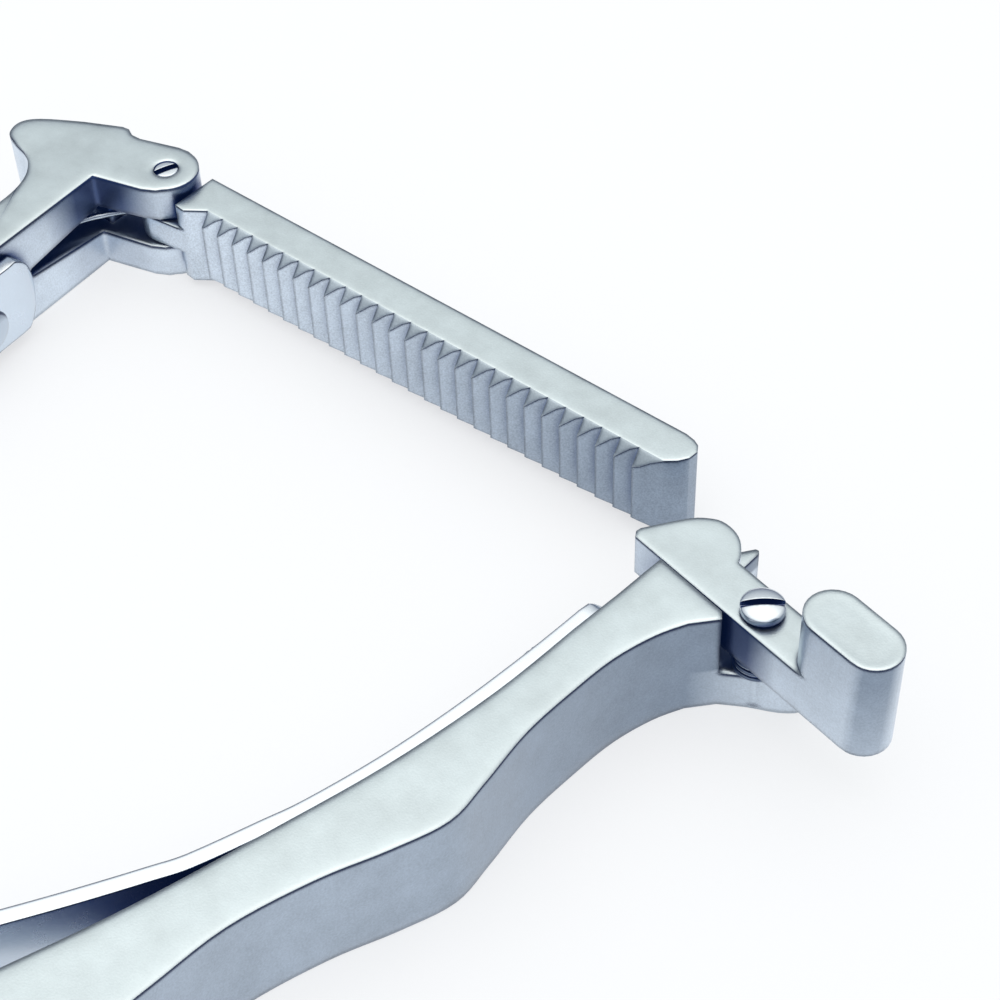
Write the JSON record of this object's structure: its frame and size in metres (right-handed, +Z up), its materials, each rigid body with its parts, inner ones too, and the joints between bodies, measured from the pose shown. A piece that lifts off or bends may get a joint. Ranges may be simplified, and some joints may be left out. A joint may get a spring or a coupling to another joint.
{
  "type": "bone reduction forceps",
  "caption": "Bone reduction forceps with pointed curved jaws, a swinging toothed ratchet bar and a thumb release lever.",
  "frame": {"origin": "on the axis of the joint screw, at the underside of the two halves", "axes": "+Z up along the joint screw, -Y towards the jaws, +Y towards the handles, +X towards the handle with the release lever"},
  "size_m": [0.1087, 0.2171, 0.0167],
  "materials": {
    "satin_steel": "satin, bead blasted",
    "spring_steel": "fine polished",
    "screw_steel": "turned and polished"
  },
  "bodies": {
    "ratchet_side": {"ratchet_side_half": "satin_steel", "joint_screw": "screw_steel", "ratchet_bar_screw": "screw_steel", "ratchet_bar_spring": "spring_steel", "ratchet_side_spring_root": "spring_steel", "ratchet_side_spring_screw": "screw_steel"},
    "lock_side": {"lock_side_half": "satin_steel", "lever_screw": "screw_steel", "lever_spacer": "screw_steel", "lever_spring": "spring_steel", "lock_side_spring_root": "spring_steel", "lock_side_spring_screw": "screw_steel"},
    "bar": {"ratchet_bar": "satin_steel"},
    "lever": {"release_lever": "satin_steel"},
    "ratchet_side_blade": {"ratchet_side_spring_blade": "spring_steel"},
    "lock_side_blade": {"lock_side_spring_blade": "spring_steel"}
  },
  "joints": [
    {"name": "main_hinge", "type": "hinge", "parent": "ratchet_side", "child": "lock_side", "pos_m": [0, 0, 0.00535], "axis": [0, 0, 1], "range_deg": [-4, 22]},
    {"name": "ratchet_bar_hinge", "type": "hinge", "parent": "ratchet_side", "child": "bar", "pos_m": [-0.0319, 0.1451, 0.00535], "axis": [0, 0, 1], "range_deg": [-6, 25]},
    {"name": "release_lever_hinge", "type": "hinge", "parent": "lock_side", "child": "lever", "pos_m": [0.04626, 0.13438, 0.0085], "axis": [0, 0, 1], "range_deg": [-22, 0], "stiffness_Nm_per_rad": 0.01, "springref_deg": 5.73},
    {"name": "lock_side_blade_bend", "type": "hinge", "parent": "lock_side", "child": "lock_side_blade", "pos_m": [0.0269, 0.09, 0.00535], "axis": [0, 0, 1], "range_deg": [-4, 12]},
    {"name": "ratchet_side_blade_bend", "type": "hinge", "parent": "ratchet_side", "child": "ratchet_side_blade", "pos_m": [-0.0269, 0.09, 0.00535], "axis": [0, 0, 1], "range_deg": [-12, 4]}
  ],
  "couplings": [
    {"joint": "ratchet_bar_hinge", "follows": "main_hinge", "ratio": 0.89},
    {"joint": "lock_side_blade_bend", "follows": "main_hinge", "ratio": 0.52},
    {"joint": "ratchet_side_blade_bend", "follows": "main_hinge", "ratio": -0.52}
  ]
}
